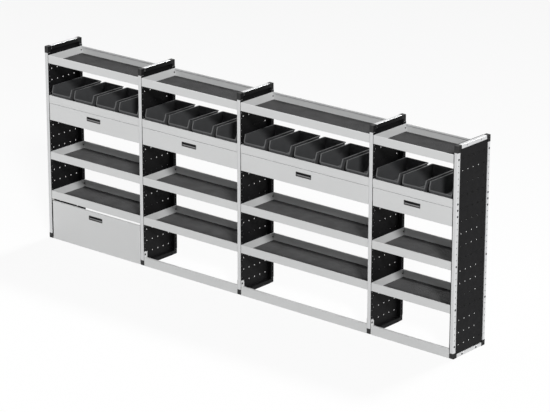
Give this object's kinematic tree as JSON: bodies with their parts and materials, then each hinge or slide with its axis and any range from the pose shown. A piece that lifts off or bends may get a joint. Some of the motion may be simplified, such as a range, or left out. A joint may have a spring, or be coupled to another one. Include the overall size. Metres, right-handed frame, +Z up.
{
  "type": "van racking system",
  "caption": "Freestanding van rack: aluminium end frames with black side panels, lipped trays, open-fronted bins, shallow drawers with recessed pulls and a drop-down flap.",
  "frame": {"origin": "middle of the footprint, on the plane that the rack stands on", "axes": "+X along the rack to the right as seen from its open front, +Y from the front to the rear, +Z up"},
  "size_m": [4.0404, 0.385, 1.595],
  "materials": {
    "aluminium_profile": "satin anodised",
    "panel_plastic": "fine grain, black",
    "painted_sheet": "light grey powder coat",
    "bin_plastic": "dark grey, moulded",
    "latch_plastic": "black, moulded",
    "paddle_plastic": "mid grey, moulded"
  },
  "bodies": {
    "rack": {"end_frame_1": "aluminium_profile", "end_frame_2": "aluminium_profile", "end_frame_3": "aluminium_profile", "end_frame_4": "aluminium_profile", "end_frame_5": "aluminium_profile", "side_panel_1": "panel_plastic", "side_panel_2": "panel_plastic", "side_panel_3": "panel_plastic", "side_panel_4": "panel_plastic", "side_panel_5": "panel_plastic", "top_tray_1": "painted_sheet", "top_tray_2": "painted_sheet", "top_tray_3": "painted_sheet", "top_tray_4": "painted_sheet", "bin_tray_1": "painted_sheet", "bin_tray_2": "painted_sheet", "bin_tray_3": "painted_sheet", "bin_tray_4": "painted_sheet", "middle_tray_1": "painted_sheet", "middle_tray_2": "painted_sheet", "middle_tray_3": "painted_sheet", "middle_tray_4": "painted_sheet", "lower_tray_1": "painted_sheet", "lower_tray_2": "painted_sheet", "lower_tray_3": "painted_sheet", "lower_tray_4": "painted_sheet", "kick_rail_2": "painted_sheet", "kick_rail_3": "painted_sheet", "kick_rail_4": "painted_sheet"},
    "drawer_1_body": {"drawer_1": "painted_sheet", "drawer_latch_housing_1": "latch_plastic"},
    "paddle_1_body": {"drawer_latch_paddle_1": "paddle_plastic"},
    "drawer_2_body": {"drawer_2": "painted_sheet", "drawer_latch_housing_2": "latch_plastic"},
    "paddle_2_body": {"drawer_latch_paddle_2": "paddle_plastic"},
    "drawer_3_body": {"drawer_3": "painted_sheet", "drawer_latch_housing_3": "latch_plastic"},
    "paddle_3_body": {"drawer_latch_paddle_3": "paddle_plastic"},
    "drawer_4_body": {"drawer_4": "painted_sheet", "drawer_latch_housing_4": "latch_plastic"},
    "paddle_4_body": {"drawer_latch_paddle_4": "paddle_plastic"},
    "flap_body": {"flap": "painted_sheet", "flap_latch_housing": "latch_plastic"},
    "flap_paddle_body": {"flap_latch_paddle": "paddle_plastic"},
    "bin_01_body": {"bin_01": "bin_plastic"},
    "bin_02_body": {"bin_02": "bin_plastic"},
    "bin_03_body": {"bin_03": "bin_plastic"},
    "bin_04_body": {"bin_04": "bin_plastic"},
    "bin_05_body": {"bin_05": "bin_plastic"},
    "bin_06_body": {"bin_06": "bin_plastic"},
    "bin_07_body": {"bin_07": "bin_plastic"},
    "bin_08_body": {"bin_08": "bin_plastic"},
    "bin_09_body": {"bin_09": "bin_plastic"},
    "bin_10_body": {"bin_10": "bin_plastic"},
    "bin_11_body": {"bin_11": "bin_plastic"},
    "bin_12_body": {"bin_12": "bin_plastic"},
    "bin_13_body": {"bin_13": "bin_plastic"},
    "bin_14_body": {"bin_14": "bin_plastic"},
    "bin_15_body": {"bin_15": "bin_plastic"},
    "bin_16_body": {"bin_16": "bin_plastic"}
  },
  "joints": [
    {"name": "drawer_1_slide", "type": "slide", "parent": "rack", "child": "drawer_1_body", "axis": [0, -1, 0], "range_m": [0, 0.25]},
    {"name": "drawer_2_slide", "type": "slide", "parent": "rack", "child": "drawer_2_body", "axis": [0, -1, 0], "range_m": [0, 0.25]},
    {"name": "drawer_3_slide", "type": "slide", "parent": "rack", "child": "drawer_3_body", "axis": [0, -1, 0], "range_m": [0, 0.25]},
    {"name": "drawer_4_slide", "type": "slide", "parent": "rack", "child": "drawer_4_body", "axis": [0, -1, 0], "range_m": [0, 0.25]},
    {"name": "drawer_1_paddle_pull", "type": "hinge", "parent": "drawer_1_body", "child": "paddle_1_body", "pos_m": [-1.49885, -0.1785, 1.09445], "axis": [-1, 0, 0], "range_deg": [0, 25], "stiffness_Nm_per_rad": 0.1, "springref_deg": -20.05},
    {"name": "drawer_2_paddle_pull", "type": "hinge", "parent": "drawer_2_body", "child": "paddle_2_body", "pos_m": [-0.49885, -0.1785, 1.09445], "axis": [-1, 0, 0], "range_deg": [0, 25], "stiffness_Nm_per_rad": 0.1, "springref_deg": -20.05},
    {"name": "drawer_3_paddle_pull", "type": "hinge", "parent": "drawer_3_body", "child": "paddle_3_body", "pos_m": [0.62615, -0.1785, 1.09445], "axis": [-1, 0, 0], "range_deg": [0, 25], "stiffness_Nm_per_rad": 0.1, "springref_deg": -20.05},
    {"name": "drawer_4_paddle_pull", "type": "hinge", "parent": "drawer_4_body", "child": "paddle_4_body", "pos_m": [1.625, -0.1785, 1.09445], "axis": [-1, 0, 0], "range_deg": [0, 25], "stiffness_Nm_per_rad": 0.1, "springref_deg": -20.05},
    {"name": "flap_drop", "type": "hinge", "parent": "rack", "child": "flap_body", "pos_m": [-1.49885, -0.1855, 0.009], "axis": [1, 0, 0], "range_deg": [0, 90]},
    {"name": "flap_paddle_pull", "type": "hinge", "parent": "flap_body", "child": "flap_paddle_body", "pos_m": [-1.49885, -0.1785, 0.2777], "axis": [-1, 0, 0], "range_deg": [0, 25], "stiffness_Nm_per_rad": 0.15, "springref_deg": -20.05},
    {"name": "bin_01_lift", "type": "slide", "parent": "rack", "child": "bin_01_body", "axis": [0, 0, 1], "range_m": [0, 0.1]},
    {"name": "bin_02_lift", "type": "slide", "parent": "rack", "child": "bin_02_body", "axis": [0, 0, 1], "range_m": [0, 0.1]},
    {"name": "bin_03_lift", "type": "slide", "parent": "rack", "child": "bin_03_body", "axis": [0, 0, 1], "range_m": [0, 0.1]},
    {"name": "bin_04_lift", "type": "slide", "parent": "rack", "child": "bin_04_body", "axis": [0, 0, 1], "range_m": [0, 0.1]},
    {"name": "bin_05_lift", "type": "slide", "parent": "rack", "child": "bin_05_body", "axis": [0, 0, 1], "range_m": [0, 0.1]},
    {"name": "bin_06_lift", "type": "slide", "parent": "rack", "child": "bin_06_body", "axis": [0, 0, 1], "range_m": [0, 0.1]},
    {"name": "bin_07_lift", "type": "slide", "parent": "rack", "child": "bin_07_body", "axis": [0, 0, 1], "range_m": [0, 0.1]},
    {"name": "bin_08_lift", "type": "slide", "parent": "rack", "child": "bin_08_body", "axis": [0, 0, 1], "range_m": [0, 0.1]},
    {"name": "bin_09_lift", "type": "slide", "parent": "rack", "child": "bin_09_body", "axis": [0, 0, 1], "range_m": [0, 0.1]},
    {"name": "bin_10_lift", "type": "slide", "parent": "rack", "child": "bin_10_body", "axis": [0, 0, 1], "range_m": [0, 0.1]},
    {"name": "bin_11_lift", "type": "slide", "parent": "rack", "child": "bin_11_body", "axis": [0, 0, 1], "range_m": [0, 0.1]},
    {"name": "bin_12_lift", "type": "slide", "parent": "rack", "child": "bin_12_body", "axis": [0, 0, 1], "range_m": [0, 0.1]},
    {"name": "bin_13_lift", "type": "slide", "parent": "rack", "child": "bin_13_body", "axis": [0, 0, 1], "range_m": [0, 0.1]},
    {"name": "bin_14_lift", "type": "slide", "parent": "rack", "child": "bin_14_body", "axis": [0, 0, 1], "range_m": [0, 0.1]},
    {"name": "bin_15_lift", "type": "slide", "parent": "rack", "child": "bin_15_body", "axis": [0, 0, 1], "range_m": [0, 0.1]},
    {"name": "bin_16_lift", "type": "slide", "parent": "rack", "child": "bin_16_body", "axis": [0, 0, 1], "range_m": [0, 0.1]}
  ]
}
